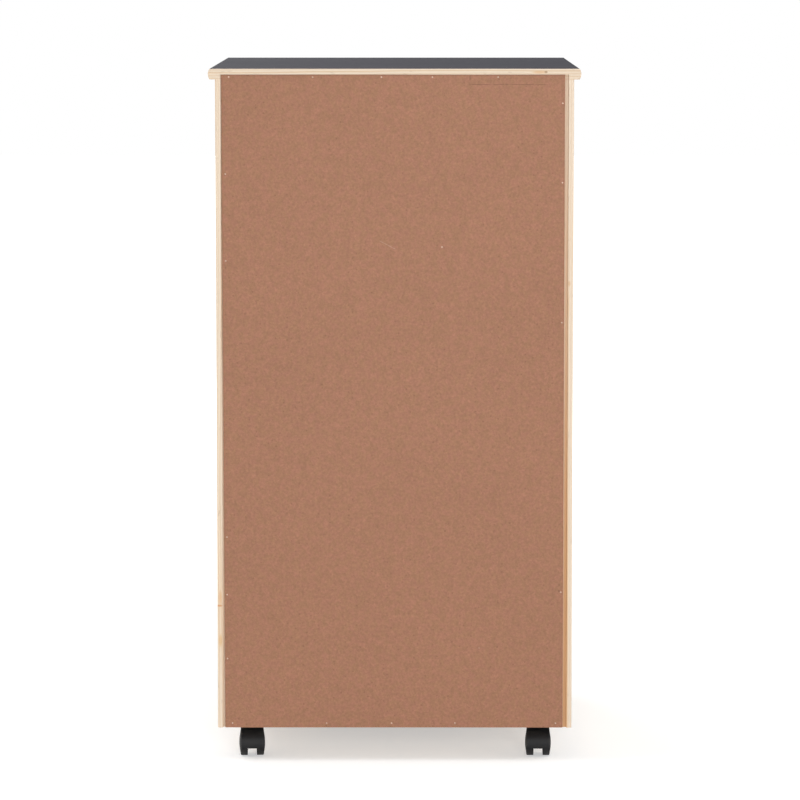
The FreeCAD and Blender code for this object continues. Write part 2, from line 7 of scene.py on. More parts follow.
import bmesh
import bpy
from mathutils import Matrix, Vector


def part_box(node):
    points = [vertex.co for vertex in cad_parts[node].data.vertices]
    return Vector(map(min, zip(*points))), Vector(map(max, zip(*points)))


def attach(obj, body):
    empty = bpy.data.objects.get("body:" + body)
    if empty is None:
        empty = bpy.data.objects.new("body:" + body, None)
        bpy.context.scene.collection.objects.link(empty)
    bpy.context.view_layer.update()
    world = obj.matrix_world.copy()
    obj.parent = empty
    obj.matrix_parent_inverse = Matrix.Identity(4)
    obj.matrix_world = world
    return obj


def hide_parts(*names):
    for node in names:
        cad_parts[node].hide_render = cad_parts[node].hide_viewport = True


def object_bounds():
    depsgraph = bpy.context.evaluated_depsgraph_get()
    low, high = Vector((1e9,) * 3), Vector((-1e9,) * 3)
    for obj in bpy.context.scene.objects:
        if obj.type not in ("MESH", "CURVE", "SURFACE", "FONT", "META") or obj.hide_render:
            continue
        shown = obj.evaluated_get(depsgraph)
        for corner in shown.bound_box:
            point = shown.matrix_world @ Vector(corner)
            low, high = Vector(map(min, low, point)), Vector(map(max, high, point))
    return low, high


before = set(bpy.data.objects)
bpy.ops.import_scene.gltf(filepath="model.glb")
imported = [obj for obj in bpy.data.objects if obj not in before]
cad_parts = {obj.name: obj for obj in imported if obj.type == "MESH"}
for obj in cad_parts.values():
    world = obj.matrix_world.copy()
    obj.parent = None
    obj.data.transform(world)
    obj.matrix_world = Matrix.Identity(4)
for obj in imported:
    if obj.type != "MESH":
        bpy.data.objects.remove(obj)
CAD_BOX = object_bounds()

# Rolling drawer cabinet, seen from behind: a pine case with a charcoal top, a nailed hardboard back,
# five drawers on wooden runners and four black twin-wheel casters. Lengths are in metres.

log = logging.getLogger("drawer_cabinet")

Colour = tuple[float, float, float]
Point = tuple[float, float, float]
FlatPoint = tuple[float, float]
Socket = bpy.types.NodeSocket
Value = Union[float, Socket]
Box = tuple[Vector, Vector]


def linear(red: int, green: int, blue: int) -> Colour:
    """Turns a colour written in display values into scene values.

    Args:
        red: Red, 0 to 255.
        green: Green, 0 to 255.
        blue: Blue, 0 to 255.

    Returns:
        The three scene values.
    """
    shares = (red / 255, green / 255, blue / 255)
    return tuple(s / 12.92 if s <= 0.04045 else ((s + 0.055) / 1.055) ** 2.4 for s in shares)


class Axis(Enum):
    """An axis of the cabinet."""

    X = 0
    Y = 1
    Z = 2


class Cut(Enum):
    """How a board was cut: the axes across its staves, through its thickness and along its grain."""

    UPRIGHT_SIDE = (Axis.Y, Axis.X, Axis.Z)
    WIDE_LEVEL = (Axis.Y, Axis.Z, Axis.X)
    WIDE_UPRIGHT = (Axis.Z, Axis.Y, Axis.X)
    DEEP_UPRIGHT = (Axis.Z, Axis.X, Axis.Y)
    TURNED = (Axis.X, Axis.Z, Axis.Y)


class HeadForm(Enum):
    """The head of a nail or screw."""

    DOMED = 0
    COUNTERSUNK = 1


class Tree:
    """Writes the nodes of one shader or geometry tree."""

    MIX_FIRST, MIX_SECOND, MIX_RESULT = 6, 7, 2

    def __init__(self, tree: bpy.types.NodeTree) -> None:
        """Keeps the tree that the nodes go into."""
        self.tree = tree

    def node(self, kind: str, **settings: object) -> bpy.types.Node:
        """Adds a node.

        Args:
            kind: The node's type name.
            **settings: Properties set on it.

        Returns:
            The new node.
        """
        made = self.tree.nodes.new(kind)
        for name, setting in settings.items():
            setattr(made, name, setting)
        return made

    def put(self, target: Socket, value: object) -> None:
        """Links a socket to the target, or writes a plain value on it."""
        if isinstance(value, bpy.types.NodeSocket):
            self.tree.links.new(value, target)
        elif value is not None:
            target.default_value = value

    def feed(self, node: bpy.types.Node, **values: object) -> bpy.types.Node:
        """Fills a node's inputs.

        Args:
            node: The node.
            **values: Its inputs by name, with _ for a space.

        Returns:
            The same node.
        """
        for name, value in values.items():
            self.put(node.inputs[name.replace("_", " ")], value)
        return node

    def group(self, tree: bpy.types.NodeTree, **values: object) -> bpy.types.Node:
        """Places a shader group and fills its inputs, named with _ for a space."""
        return self.feed(self.node("ShaderNodeGroup", node_tree=tree), **values)

    def math(
        self, operation: str, first: Value, second: Optional[Value] = None, third: Optional[Value] = None
    ) -> Socket:
        """Adds a Math node.

        Args:
            operation: The operation's name.
            first: First value.
            second: Second value, where there is one.
            third: Third value, where there is one.

        Returns:
            The result.
        """
        made = self.node("ShaderNodeMath", operation=operation)
        for target, value in zip(made.inputs, (first, second, third)):
            self.put(target, value)
        return made.outputs[0]

    def product(self, first: Value, *others: Value) -> Socket:
        """Multiplies two or more values."""
        for other in others:
            first = self.math("MULTIPLY", first, other)
        return first

    def total(self, first: Value, *others: Value) -> Socket:
        """Adds two or more values."""
        for other in others:
            first = self.math("ADD", first, other)
        return first

    def hypot(self, first: Socket, second: Socket) -> Socket:
        """Finds the length of a flat vector."""
        return self.math("SQRT", self.total(self.product(first, first), self.product(second, second)))

    def step(self, value: Value, low: Value, high: Value, bottom: float = 0.0, top: float = 1.0) -> Socket:
        """Adds a smooth step.

        Args:
            value: What is stepped.
            low: Where the step starts.
            high: Where it ends.
            bottom: The result before the start.
            top: The result after the end.

        Returns:
            The stepped value.
        """
        made = self.node("ShaderNodeMapRange", interpolation_type="SMOOTHSTEP")
        self.feed(made, Value=value, From_Min=low, From_Max=high, To_Min=bottom, To_Max=top)
        return made.outputs["Result"]

    def scaled(self, value: Value, low: float, high: float) -> Socket:
        """Spreads a value of 0 to 1 over low to high."""
        return self.math("MULTIPLY_ADD", value, high - low, low)

    def split(self, vector: Socket) -> list[Socket]:
        """Takes a vector apart into x, y and z."""
        made = self.node("ShaderNodeSeparateXYZ")
        self.put(made.inputs[0], vector)
        return list(made.outputs)

    def joined(self, x: Value, y: Value, z: Value) -> Socket:
        """Makes a vector of x, y and z."""
        made = self.node("ShaderNodeCombineXYZ")
        for target, value in zip(made.inputs, (x, y, z)):
            self.put(target, value)
        return made.outputs[0]

    def stretched(self, parts: Sequence[Socket], x: float, y: float, z: float) -> Socket:
        """Multiplies the three parts of a place by x, y and z and joins them."""
        return self.joined(*(self.product(part, k) for part, k in zip(parts, (x, y, z))))

    def evenly(self, parts: Sequence[Socket], k: float) -> Socket:
        """Multiplies all three parts of a place by one number and joins them."""
        return self.stretched(parts, k, k, k)

    def times(self, vector: Union[Colour, Socket], k: Socket) -> Socket:
        """Multiplies a colour or a place by one value."""
        made = self.node("ShaderNodeVectorMath", operation="SCALE")
        self.put(made.inputs[0], vector)
        self.put(made.inputs["Scale"], k)
        return made.outputs[0]

    def noise(self, vector: Socket, detail: float = 2.0, rough: float = 0.5) -> Socket:
        """Adds a noise.

        Args:
            vector: Where it is read.
            detail: Its octaves.
            rough: How strong the finer octaves are.

        Returns:
            A value of about 0 to 1.
        """
        made = self.node("ShaderNodeTexNoise")
        return self.feed(made, Vector=vector, Scale=1.0, Detail=detail, Roughness=rough).outputs[0]

    def dice(self, vector: Socket) -> bpy.types.Node:
        """Adds a white noise read at a vector."""
        return self.feed(self.node("ShaderNodeTexWhiteNoise", noise_dimensions="3D"), Vector=vector)

    def cells(self, vector: Socket, dimensions: str) -> bpy.types.Node:
        """Adds Voronoi cells in 2D or 3D."""
        return self.feed(self.node("ShaderNodeTexVoronoi", voronoi_dimensions=dimensions), Vector=vector, Scale=1.0)

    def mix(self, share: Value, first: object, second: object) -> Socket:
        """Mixes two colours.

        Args:
            share: How much of the second colour shows.
            first: A colour or its socket.
            second: A colour or its socket.

        Returns:
            The mixed colour.
        """
        made = self.node("ShaderNodeMix", data_type="RGBA")
        self.put(made.inputs[0], share)
        for index, colour in ((self.MIX_FIRST, first), (self.MIX_SECOND, second)):
            self.put(made.inputs[index], (*colour, 1.0) if isinstance(colour, tuple) else colour)
        return made.outputs[self.MIX_RESULT]


def emptied(owner: Union[bpy.types.Material, bpy.types.World]) -> Tree:
    """Gives a material or a world an empty node tree."""
    owner.use_nodes = True
    owner.node_tree.nodes.clear()
    return Tree(owner.node_tree)


def placed(name: str, data: bpy.types.ID) -> bpy.types.Object:
    """Puts a new object in the scene."""
    made = bpy.data.objects.new(name, data)
    bpy.context.scene.collection.objects.link(made)
    return made


def new_group(
    name: str, inputs: dict[str, tuple[str, object]], outputs: dict[str, str]
) -> tuple[Tree, dict[str, Socket], dict[str, Socket]]:
    """Starts a shader node group.

    Args:
        name: The group's name.
        inputs: Socket kind and first value by name.
        outputs: Socket kind by name.

    Returns:
        The tree's writer, its input sockets and its output sockets.
    """
    tree = bpy.data.node_groups.new(name, "ShaderNodeTree")
    for label, (kind, value) in inputs.items():
        socket = tree.interface.new_socket(name=label, in_out="INPUT", socket_type=f"NodeSocket{kind}")
        if value is not None:
            socket.default_value = value
    for label, kind in outputs.items():
        tree.interface.new_socket(name=label, in_out="OUTPUT", socket_type=f"NodeSocket{kind}")
    entry, leave = tree.nodes.new("NodeGroupInput"), tree.nodes.new("NodeGroupOutput")
    return Tree(tree), {n: entry.outputs[n] for n in inputs}, {n: leave.inputs[n] for n in outputs}


@dataclass(frozen=True)
class PineTones:
    """The colours of planed pine."""

    early: Colour = linear(247, 228, 205)
    late: Colour = linear(228, 194, 156)
    warm: Colour = linear(240, 204, 163)
    knot: Colour = linear(140, 92, 56)
    heart: Colour = linear(182, 130, 84)
    bark: Colour = linear(98, 60, 36)


@dataclass(frozen=True)
class PineSizes:
    """The sizes of what shows in planed pine: lengths, and cells per metre."""

    pith_beside: float = 0.03
    pith_near: float = 0.018
    pith_far: float = 0.07
    ring_drift: float = 0.012
    ring_wave: float = 0.002
    knot_cells: float = 9.0
    knot_small: float = 0.0022
    knot_large: float = 0.0062
    knot_reach: float = 0.013
    knot_push: float = 0.011
    seam_inner: float = 0.0002
    seam_outer: float = 0.0006
    stave_shift: float = 5.0


@dataclass(frozen=True)
class KnotMasks:
    """Where the knots of a board are: whether its cell has one, radii from its heart, and its parts."""

    there: Socket
    radii: Socket
    wood: Socket
    rim: Socket
    push: Socket


class GrainGroups:
    """The shader groups that several finishes share."""

    def __init__(self) -> None:
        """Builds each group once."""
        self.pine = self.build_pine(PineTones(), PineSizes())
        self.fibre = self.build_fibre()
        self.skin = self.build_skin()

    @staticmethod
    def knots(t: Tree, flat: Sequence[Socket], amount: Socket, sizes: PineSizes) -> KnotMasks:
        """Finds the knots that go straight through a board.

        Args:
            t: The group's writer.
            flat: The place across, along and through the board.
            amount: 1 with knots, 0 without.
            sizes: The sizes of the wood.

        Returns:
            The knots' masks.
        """
        cells = t.cells(t.stretched(flat, sizes.knot_cells, sizes.knot_cells, 0.0), "2D")
        chance, girth, _ = t.split(cells.outputs["Color"])
        off = t.math("DIVIDE", cells.outputs["Distance"], sizes.knot_cells)
        radius = t.scaled(girth, sizes.knot_small, sizes.knot_large)
        there = t.product(t.step(chance, 0.8, 0.82), amount)
        radii = t.math("DIVIDE", off, radius)
        wood = t.product(t.step(radii, 1.15, 0.8), there)
        rim = t.product(t.step(radii, 1.9, 1.1), there)
        bend = t.math("DIVIDE", off, sizes.knot_reach)
        push = t.math("EXPONENT", t.product(bend, bend, -1.0))
        return KnotMasks(there, radii, wood, rim, t.product(push, sizes.knot_push, there))

    def build_pine(self, tones: PineTones, sizes: PineSizes) -> bpy.types.NodeTree:
        """Builds solid pine: rings about a pith outside each stave, fibres, knots and glue lines.

        Args:
            tones: The colours of the wood.
            sizes: The sizes of what shows in it.

        Returns:
            The group, with its place given as across, through and along the grain.
        """
        t, i, o = new_group(
            "solid_pine",
            {
                "Place": ("Vector", None),
                "Ring": ("Float", 0.003),
                "Stave": ("Float", 0.07),
                "Seed": ("Float", 0.0),
                "Knots": ("Float", 1.0),
            },
            {"Color": "Color", "Roughness": "Float", "Height": "Float"},
        )
        x, y, z = t.split(i["Place"])
        stave = t.total(t.math("DIVIDE", x, i["Stave"]), t.product(i["Seed"], 0.37))
        index, share = t.math("FLOOR", stave), t.math("FRACT", stave)
        off_middle = t.math("SUBTRACT", share, 0.5)
        pith_x, pith_y, shift = t.split(t.dice(t.joined(index, i["Seed"], 0.5)).outputs["Color"])
        run = t.math("MULTIPLY_ADD", shift, sizes.stave_shift, z)
        here = (x, y, run)
        knots = self.knots(t, (x, run, y), i["Knots"], sizes)

        drift = t.scaled(t.noise(t.stretched(here, 3.0, 3.0, 0.9)), -sizes.ring_drift, sizes.ring_drift)
        wave = t.scaled(t.noise(t.stretched(here, 16.0, 16.0, 5.0)), -sizes.ring_wave, sizes.ring_wave)
        within = t.product(off_middle, i["Stave"])
        dx = t.math("SUBTRACT", within, t.scaled(pith_x, -sizes.pith_beside, sizes.pith_beside))
        dy = t.total(y, t.scaled(pith_y, sizes.pith_near, sizes.pith_far))
        reach = t.total(t.total(t.hypot(dx, dy), knots.push), t.total(drift, wave))
        phase = t.math("DIVIDE", reach, i["Ring"])
        ring, number = t.math("FRACT", phase), t.math("FLOOR", phase)
        vary = t.dice(t.joined(number, i["Seed"], index)).outputs["Value"]
        late = t.product(t.step(ring, 0.3, 0.88), t.step(ring, 1.0, 0.92), t.scaled(vary, 0.3, 1.0))

        fibre = t.noise(t.stretched(here, 700.0, 700.0, 14.0), detail=4.0, rough=0.6)
        fleck = t.noise(t.stretched(here, 2400.0, 2400.0, 50.0))
        patch = t.noise(t.stretched(here, 11.0, 11.0, 2.6))
        resin = t.step(t.noise(t.stretched(here, 420.0, 420.0, 70.0), detail=1.0), 0.7, 0.76)

        colour = t.mix(t.product(late, 0.8), tones.early, tones.late)
        colour = t.mix(t.step(patch, 0.52, 0.75, 0.0, 0.45), colour, tones.warm)
        colour = t.mix(t.product(resin, 0.22), colour, tones.knot)
        colour = t.mix(t.product(knots.rim, 0.55), colour, tones.late)
        rings = t.math("FRACT", t.math("MULTIPLY_ADD", knots.radii, 3.5, t.product(fibre, 0.8)))
        colour = t.mix(t.product(knots.wood, 0.9), colour, t.mix(rings, tones.knot, tones.heart))
        bark = t.product(t.step(knots.radii, 0.72, 0.95), t.step(knots.radii, 1.2, 1.0))
        colour = t.mix(t.product(bark, knots.there, 0.6), colour, tones.bark)

        off_seam = t.product(t.math("SUBTRACT", 0.5, t.math("ABSOLUTE", off_middle)), i["Stave"])
        seam = t.step(off_seam, sizes.seam_inner, sizes.seam_outer, 0.86, 1.0)
        shade = t.product(t.scaled(fibre, 0.9, 1.07), t.scaled(fleck, 0.965, 1.03), seam)
        t.put(o["Color"], t.times(colour, t.product(shade, t.scaled(pith_y, 0.955, 1.02))))
        t.put(o["Roughness"], t.total(t.scaled(fibre, 0.5, 0.64), t.product(late, -0.08)))
        relief = t.total(t.product(fibre, 0.6), t.product(late, 0.5), t.product(knots.wood, -0.4))
        t.put(o["Height"], relief)
        return t.tree

    def build_fibre(self) -> bpy.types.NodeTree:
        """Builds pressed fibre: lumps, short bent fibres and specks.

        Returns:
            The group.
        """
        t, i, o = new_group(
            "pressed_fibre",
            {"Place": ("Vector", None), "Speck": ("Float", 1.0)},
            {"Shade": "Float", "Warmth": "Float", "Speck": "Float", "Roughness": "Float", "Height": "Float"},
        )
        here = x, y, z = t.split(i["Place"])
        cloud = t.noise(t.evenly(here, 7.0), detail=3.0)
        lump = t.noise(t.evenly(here, 330.0), detail=3.0, rough=0.65)
        sway = t.scaled(t.noise(t.evenly(here, 130.0)), -0.012, 0.012)
        lean = t.scaled(t.noise(t.evenly((z, y, x), 130.0)), -0.012, 0.012)
        bent = (t.total(x, sway), y, t.total(z, lean))
        level = t.noise(t.stretched(bent, 330.0, 900.0, 1150.0), detail=3.0, rough=0.65)
        steep = t.noise(t.stretched(bent, 1150.0, 900.0, 330.0), detail=3.0, rough=0.65)
        fine = t.noise(t.evenly(here, 2600.0))
        blot = t.noise(t.evenly(here, 85.0), rough=0.6)
        slow = t.product(t.scaled(cloud, 0.95, 1.05), t.scaled(blot, 0.92, 1.08))
        lumps = t.product(t.scaled(lump, 0.7, 1.3), slow)
        fibres = t.product(t.scaled(level, 0.84, 1.16), t.scaled(steep, 0.84, 1.16))
        t.put(o["Shade"], t.product(lumps, fibres, t.scaled(fine, 0.95, 1.05)))
        t.put(o["Warmth"], t.noise(t.evenly(here, 120.0), detail=3.0, rough=0.7))
        cells = t.cells(t.evenly(here, 230.0), "3D")
        chance, _, _ = t.split(cells.outputs["Color"])
        speck = t.product(t.step(cells.outputs["Distance"], 0.3, 0.14), t.step(chance, 0.86, 0.9))
        t.put(o["Speck"], t.product(speck, i["Speck"]))
        t.put(o["Roughness"], t.total(t.scaled(lump, 0.5, 0.66), t.product(level, 0.06)))
        t.put(o["Height"], t.total(t.product(lump, 0.5), t.total(t.product(level, 0.35), t.product(steep, 0.35))))
        return t.tree

    def build_skin(self) -> bpy.types.NodeTree:
        """Builds a coated or moulded skin: fine texture, slow drifts and hairline rubs.

        Returns:
            The group.
        """
        t, i, o = new_group(
            "coated_skin",
            {"Place": ("Vector", None), "Grain": ("Float", 1500.0), "Rubs": ("Float", 0.5)},
            {"Shade": "Float", "Rub": "Float", "Roughness": "Float", "Height": "Float"},
        )
        here = t.split(i["Place"])
        cloud = t.noise(t.evenly(here, 14.0), detail=3.0)
        grain = t.noise(t.times(i["Place"], i["Grain"]), detail=3.0, rough=0.6)
        streak = t.noise(t.stretched(here, 900.0, 40.0, 130.0))
        where = t.step(t.noise(t.evenly(here, 30.0)), 0.55, 0.7)
        rub = t.product(t.step(streak, 0.66, 0.74), where, i["Rubs"])
        t.put(o["Rub"], rub)
        t.put(o["Shade"], t.product(t.scaled(cloud, 0.92, 1.08), t.scaled(grain, 0.88, 1.12)))
        t.put(o["Roughness"], t.total(t.scaled(cloud, -0.05, 0.06), t.scaled(grain, -0.05, 0.05)))
        t.put(o["Height"], t.total(grain, t.product(rub, -0.6)))
        return t.tree


class Finish:
    """Common steps of every finish."""

    name: str
    material: bpy.types.Material

    def start(self) -> tuple[Tree, bpy.types.Node, Socket]:
        """Starts the material.

        Returns:
            Its writer, its shader and the place on the object.
        """
        self.material = bpy.data.materials.new(self.name)
        t = emptied(self.material)
        shader, out = t.node("ShaderNodeBsdfPrincipled"), t.node("ShaderNodeOutputMaterial")
        t.put(out.inputs["Surface"], shader.outputs[0])
        return t, shader, t.node("ShaderNodeTexCoord").outputs["Object"]

    @staticmethod
    def turned(t: Tree, place: Socket, cut: Cut) -> Socket:
        """Puts a place in the order across, through and along the grain."""
        parts = t.split(place)
        return t.joined(*(parts[axis.value] for axis in cut.value))

    @staticmethod
    def bump(t: Tree, shader: bpy.types.Node, height: Socket, depth: float) -> None:
        """Adds fine relief.

        Args:
            t: The material's writer.
            shader: The shader that gets it.
            height: The relief, about 0 to 1.
            depth: Its depth in metres.
        """
        made = t.feed(t.node("ShaderNodeBump"), Height=height, Distance=depth, Strength=1.0)
        t.put(shader.inputs["Normal"], made.outputs[0])


@dataclass(frozen=True)
class Spot:
    """A knot or a streak at a known place on a rear edge."""

    x: float
    z: float
    half_x: float
    half_z: float
    strength: float
    tone: Colour
    deep: float = 0.02
    fade: float = 0.012

    def lay(self, t: Tree, place: Socket, colour: Socket, rear: float) -> Socket:
        """Lays the spot over a colour, near the rear face only.

        Args:
            t: The material's writer.
            place: Where the surface is.
            colour: The wood's colour.
            rear: Where the rear face is.

        Returns:
            The colour with the spot.
        """
        x, y, z = t.split(place)
        beside = t.math("DIVIDE", t.math("SUBTRACT", x, self.x), self.half_x)
        above = t.math("DIVIDE", t.math("SUBTRACT", z, self.z), self.half_z)
        inside = t.step(t.hypot(beside, above), 1.0, 0.3, 0.0, self.strength)
        return t.mix(t.product(inside, t.step(y, rear - self.deep, rear - self.fade)), colour, self.tone)


ORANGE = linear(226, 172, 112)
BROWN = linear(150, 106, 66)


@dataclass
class PineFinish(Finish):
    """Bare planed pine."""

    name: str
    groups: GrainGroups
    cut: Cut
    seed: float
    ring: float = 0.003
    stave: float = 0.07
    knots: float = 1.0
    spots: tuple[Spot, ...] = ()
    relief: float = 0.00012

    def build(self) -> bpy.types.Material:
        """Builds the material."""
        t, shader, place = self.start()
        grain = self.turned(t, place, self.cut)
        wood = t.group(
            self.groups.pine, Place=grain, Ring=self.ring, Stave=self.stave, Seed=self.seed, Knots=self.knots
        )
        colour = wood.outputs["Color"]
        for spot in self.spots:
            colour = spot.lay(t, place, colour, CAD_BOX[1].y)
        t.put(shader.inputs["Base Color"], colour)
        t.put(shader.inputs["Roughness"], wood.outputs["Roughness"])
        self.bump(t, shader, wood.outputs["Height"], self.relief)
        return self.material


@dataclass
class PaintedPineFinish(Finish):
    """Pine with charcoal paint on the one face that looks towards a given side, with painted shade in a thin band
    along its side edges.
    """

    name: str
    groups: GrainGroups
    cut: Cut
    seed: float
    face: Axis
    sign: float
    border: float
    half_width: float
    stave: float = 0.08
    ring: float = 0.0031
    spots: tuple[Spot, ...] = ()
    paint: Colour = linear(55, 54, 62)
    shoulder_shade: Colour = linear(42, 41, 45)
    rubbed: Colour = linear(112, 110, 114)
    dull: float = 0.78
    specular: float = 0.08
    relief: float = 0.00012

    def build(self) -> bpy.types.Material:
        """Builds the material."""
        t, shader, place = self.start()
        grain = self.turned(t, place, self.cut)
        wood = t.group(self.groups.pine, Place=grain, Ring=self.ring, Stave=self.stave, Seed=self.seed, Knots=1.0)
        film = t.group(self.groups.skin, Place=place, Grain=1300.0, Rubs=0.35)
        wood_rough, wood_height = wood.outputs["Roughness"], wood.outputs["Height"]
        normal = t.split(t.node("ShaderNodeNewGeometry").outputs["True Normal"])
        covered = t.step(t.product(normal[self.face.value], self.sign), 0.9, 0.97)

        beside = t.math("ABSOLUTE", t.split(place)[Axis.X.value])
        # Painted shade: a darker band near the side edges of the paint, standing in for the rounded shoulder
        # turning away from the light.
        edge = t.step(beside, self.half_width - self.border, self.half_width - self.border * 0.4)
        colour = t.mix(t.product(edge, 0.75), self.paint, self.shoulder_shade)
        colour = t.times(colour, t.product(film.outputs["Shade"], t.scaled(wood_height, 0.9, 1.1)))
        colour = t.mix(t.product(film.outputs["Rub"], 0.4), colour, self.rubbed)
        bare = wood.outputs["Color"]
        for spot in self.spots:
            bare = spot.lay(t, place, bare, CAD_BOX[1].y)
        t.put(shader.inputs["Base Color"], t.mix(covered, bare, colour))

        shader.inputs["Specular IOR Level"].default_value = self.specular
        dull = t.total(film.outputs["Roughness"], self.dull)
        rough = t.total(t.product(covered, t.math("SUBTRACT", dull, wood_rough)), wood_rough)
        t.put(shader.inputs["Roughness"], rough)
        under = t.product(wood_height, t.math("SUBTRACT", 1.0, t.product(covered, 0.75)))
        height = t.total(under, t.product(film.outputs["Height"], t.product(covered, 0.5)))
        self.bump(t, shader, height, self.relief)
        return self.material


@dataclass
class HardboardFinish(Finish):
    """Pressed hardboard, smooth on its face."""

    name: str
    groups: GrainGroups
    base: Colour = linear(170, 122, 96)
    green: Colour = linear(166, 122, 91)
    red: Colour = linear(175, 122, 99)
    speck: Colour = linear(112, 76, 58)
    specular: float = 0.3
    relief: float = 0.00015

    def colour(self, t: Tree, place: Socket, fibre: bpy.types.Node) -> Socket:
        """Mixes the board's colour, before any mark on it."""
        warm = t.mix(t.step(fibre.outputs["Warmth"], 0.35, 0.65), self.green, self.red)
        colour = t.times(t.mix(0.6, self.base, warm), fibre.outputs["Shade"])
        return t.mix(t.product(fibre.outputs["Speck"], 0.32), colour, self.speck)

    def build(self) -> bpy.types.Material:
        """Builds the material."""
        t, shader, place = self.start()
        fibre = t.group(self.groups.fibre, Place=place, Speck=1.0)
        shader.inputs["Specular IOR Level"].default_value = self.specular
        t.put(shader.inputs["Base Color"], self.colour(t, place, fibre))
        t.put(shader.inputs["Roughness"], fibre.outputs["Roughness"])
        self.bump(t, shader, fibre.outputs["Height"], self.relief)
        return self.material


@dataclass(frozen=True)
class Line:
    """A straight scratch or pencil line on the back panel."""

    start: FlatPoint
    end: FlatPoint
    strength: float
    tone: Colour
    half: float = 0.0006

    def share(self, t: Tree, x: Socket, z: Socket) -> Socket:
        """Finds how much of the line shows at a place.

        Args:
            t: The material's writer.
            x: Place along the width.
            z: Place along the height.

        Returns:
            A value of 0 to the line's strength.
        """
        dx, dz = self.end[0] - self.start[0], self.end[1] - self.start[1]
        length = math.hypot(dx, dz)
        ux, uz = dx / length, dz / length
        rx, rz = t.math("SUBTRACT", x, self.start[0]), t.math("SUBTRACT", z, self.start[1])
        along = t.total(t.product(rx, ux), t.product(rz, uz))
        aside = t.math("ABSOLUTE", t.math("SUBTRACT", t.product(rx, uz), t.product(rz, ux)))
        off_middle = t.math("ABSOLUTE", t.math("SUBTRACT", along, length / 2))
        past_end = t.math("MAXIMUM", t.math("SUBTRACT", off_middle, length / 2), 0.0)
        return t.step(t.total(aside, past_end), self.half, self.half * 0.5, 0.0, self.strength)


@dataclass(frozen=True)
class Dot:
    """A small round speck on the back panel."""

    x: float
    z: float
    radius: float
    strength: float
    tone: Colour

    def share(self, t: Tree, x: Socket, z: Socket) -> Socket:
        """Finds how much of the speck shows at a place."""
        off = t.hypot(t.math("SUBTRACT", x, self.x), t.math("SUBTRACT", z, self.z))
        return t.step(off, self.radius, self.radius * 0.5, 0.0, self.strength)


PENCIL = linear(96, 66, 52)
DARK_SPECK = linear(88, 60, 48)


@dataclass
class MarkedHardboardFinish(HardboardFinish):
    """The back's hardboard, with its scratch, pencil line and specks."""

    lines: tuple[Line, ...] = (
        Line((0.0165, 0.5961), (-0.0005, 0.5871), 0.5, linear(205, 170, 150)),
        Line((-0.0848, 0.7835), (-0.0848, 0.7718), 0.5, PENCIL),
        Line((-0.0848, 0.7724), (-0.1720, 0.7722), 0.42, PENCIL),
    )
    dots: tuple[Dot, ...] = (
        Dot(-0.0535, 0.5893, 0.0013, 0.75, linear(222, 192, 172)),
        Dot(-0.0962, 0.1312, 0.0012, 0.3, linear(206, 172, 152)),
        Dot(-0.0573, 0.2658, 0.0010, 0.55, DARK_SPECK),
        Dot(-0.1167, 0.1323, 0.0010, 0.55, DARK_SPECK),
        Dot(-0.1872, 0.1969, 0.0012, 0.5, linear(84, 56, 44)),
    )

    def colour(self, t: Tree, place: Socket, fibre: bpy.types.Node) -> Socket:
        """Mixes the board's colour and lays the marks over it."""
        colour = super().colour(t, place, fibre)
        here = x, _, z = t.split(place)
        broken = t.step(t.noise(t.evenly(here, 300.0)), 0.32, 0.55, 0.3, 1.0)
        for line in self.lines:
            colour = t.mix(t.product(line.share(t, x, z), broken), colour, line.tone)
        for dot in self.dots:
            colour = t.mix(dot.share(t, x, z), colour, dot.tone)
        return colour


@dataclass
class PlasticFinish(Finish):
    """Black moulded plastic with a soft sheen, lighter low down from painted floor bounce with a little dust, and
    hairline rubs.
    """

    name: str
    groups: GrainGroups
    base: Colour
    roughness: float
    bounce_and_dust: Colour = linear(110, 106, 102)
    bounce_top: float = 0.012
    specular: float = 0.3
    relief: float = 0.00006

    def build(self) -> bpy.types.Material:
        """Builds the material."""
        t, shader, place = self.start()
        here = t.split(place)
        skin = t.group(self.groups.skin, Place=place, Grain=2200.0, Rubs=0.6)
        # Painted floor bounce with some dust: the plastic is mixed towards a pale grey below about 12 mm, plus a
        # little over the rubs.
        low = t.step(here[Axis.Z.value], self.bounce_top, 0.0, 0.0, 0.3)
        bounce_dust_and_rubs = t.total(t.product(low, t.noise(t.evenly(here, 260.0))), t.product(skin.outputs["Rub"], 0.12))
        shader.inputs["Specular IOR Level"].default_value = self.specular
        t.put(shader.inputs["Base Color"], t.mix(bounce_dust_and_rubs, t.times(self.base, skin.outputs["Shade"]), self.bounce_and_dust))
        t.put(shader.inputs["Roughness"], t.total(skin.outputs["Roughness"], self.roughness))
        self.bump(t, shader, skin.outputs["Height"], self.relief)
        return self.material


@dataclass
class SteelFinish(Finish):
    """Zinc-plated steel with faint mottling."""

    name: str
    groups: GrainGroups
    tint: Colour
    roughness: float
    dark_share: float = 0.72
    relief: float = 0.00003

    def build(self) -> bpy.types.Material:
        """Builds the material."""
        t, shader, place = self.start()
        skin = t.group(self.groups.skin, Place=place, Grain=900.0, Rubs=0.8)
        spangle = t.noise(t.evenly(t.split(place), 480.0), detail=1.0)
        dark = tuple(c * self.dark_share for c in self.tint)
        colour = t.mix(t.step(spangle, 0.4, 0.62, 0.0, 0.5), self.tint, dark)
        t.put(shader.inputs["Base Color"], t.times(colour, skin.outputs["Shade"]))
        rough = t.total(skin.outputs["Roughness"], self.roughness, t.product(spangle, 0.1))
        t.put(shader.inputs["Roughness"], rough)
        shader.inputs["Metallic"].default_value = 1.0
        self.bump(t, shader, skin.outputs["Height"], self.relief)
        return self.material


